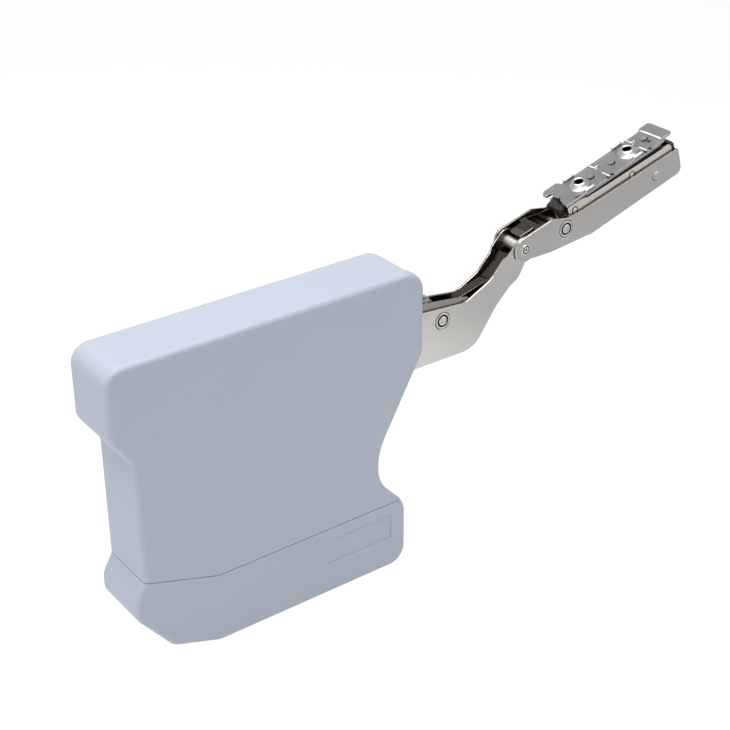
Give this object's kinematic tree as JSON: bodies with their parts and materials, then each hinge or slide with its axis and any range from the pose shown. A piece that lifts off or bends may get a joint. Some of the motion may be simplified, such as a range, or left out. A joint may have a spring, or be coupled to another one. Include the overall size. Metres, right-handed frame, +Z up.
{
  "type": "cabinet lift support",
  "caption": "Lift support for an upward-opening cabinet door: spring unit in a moulded cover with a folding linked arm and a clip-on door plate.",
  "frame": {"origin": "on the mounting face, at the middle of the housing's outline", "axes": "+X towards the cabinet's front, +Y into the cabinet's side panel, +Z up; stored open, with the arm out"},
  "size_m": [0.3209, 0.0295, 0.1758],
  "materials": {
    "cover_grey": "fine satin",
    "black_plastic": "matt",
    "nickel_steel": "nickel plated",
    "nickel_matt": "matt nickel plated",
    "zinc_steel": "zinc plated",
    "bright_pin": "bright nickel"
  },
  "bodies": {
    "frame": {"main_cover": "cover_grey", "lower_cap": "cover_grey", "back_plate": "zinc_steel", "side_plate": "zinc_steel", "guide_pin": "bright_pin", "drive_stub_far": "bright_pin", "drive_stub_near": "bright_pin", "frame_pillar_1": "bright_pin", "frame_pillar_2": "bright_pin", "frame_pillar_3": "bright_pin", "frame_pillar_4": "bright_pin", "frame_pillar_5": "bright_pin"},
    "drive": {"drive_plate_far": "nickel_steel", "drive_plate_near": "nickel_steel", "control_pin": "bright_pin"},
    "guide": {"guide_link": "nickel_steel"},
    "lever": {"main_lever": "nickel_steel", "lever_gusset": "nickel_steel", "gusset_pin": "bright_pin", "lever_rivet": "bright_pin", "hinge_barrel": "bright_pin"},
    "control": {"control_link": "nickel_steel"},
    "channel": {"door_channel": "nickel_steel", "hinge_rivet": "bright_pin", "link_rivet": "bright_pin", "clip_bracket": "nickel_steel", "release_pin": "bright_pin", "clip_block": "black_plastic"},
    "release": {"release_lever": "black_plastic"},
    "plate": {"door_plate": "nickel_matt"}
  },
  "joints": [
    {"name": "drive_hinge", "type": "hinge", "parent": "frame", "child": "drive", "pos_m": [0.0598, -0.015, 0.0504], "axis": [0, 1, 0], "range_deg": [0, 139.66]},
    {"name": "lever_hinge", "type": "hinge", "parent": "drive", "child": "lever", "pos_m": [0.0974, -0.015, 0.0398], "axis": [0, 1, 0], "range_deg": [-93.04, 0]},
    {"name": "door_hinge", "type": "hinge", "parent": "lever", "child": "channel", "pos_m": [0.1439, -0.015, 0.0633], "axis": [0, 1, 0], "range_deg": [0, 60.19]},
    {"name": "guide_hinge", "type": "hinge", "parent": "frame", "child": "guide", "pos_m": [0.0572, -0.015, 0.0565], "axis": [0, 1, 0], "range_deg": [0, 149.04]},
    {"name": "control_hinge", "type": "hinge", "parent": "channel", "child": "control", "pos_m": [0.1689, -0.015, 0.06719], "axis": [0, 1, 0], "range_deg": [-55.08, 0]},
    {"name": "release_hinge", "type": "hinge", "parent": "channel", "child": "release", "pos_m": [0.17501, -0.015, 0.07478], "axis": [0, 1, 0], "range_deg": [-10, 0], "stiffness_Nm_per_rad": 0.1},
    {"name": "plate_lift_off", "type": "slide", "parent": "channel", "child": "plate", "axis": [-0.289, 0, 0.9573], "range_m": [0, 0.012]}
  ],
  "couplings": [
    {"joint": "lever_hinge", "follows": "drive_hinge", "ratio": -0.66585},
    {"joint": "door_hinge", "follows": "drive_hinge", "ratio": 0.43065},
    {"joint": "guide_hinge", "follows": "drive_hinge", "ratio": 1.0668},
    {"joint": "control_hinge", "follows": "drive_hinge", "ratio": -0.39405}
  ]
}
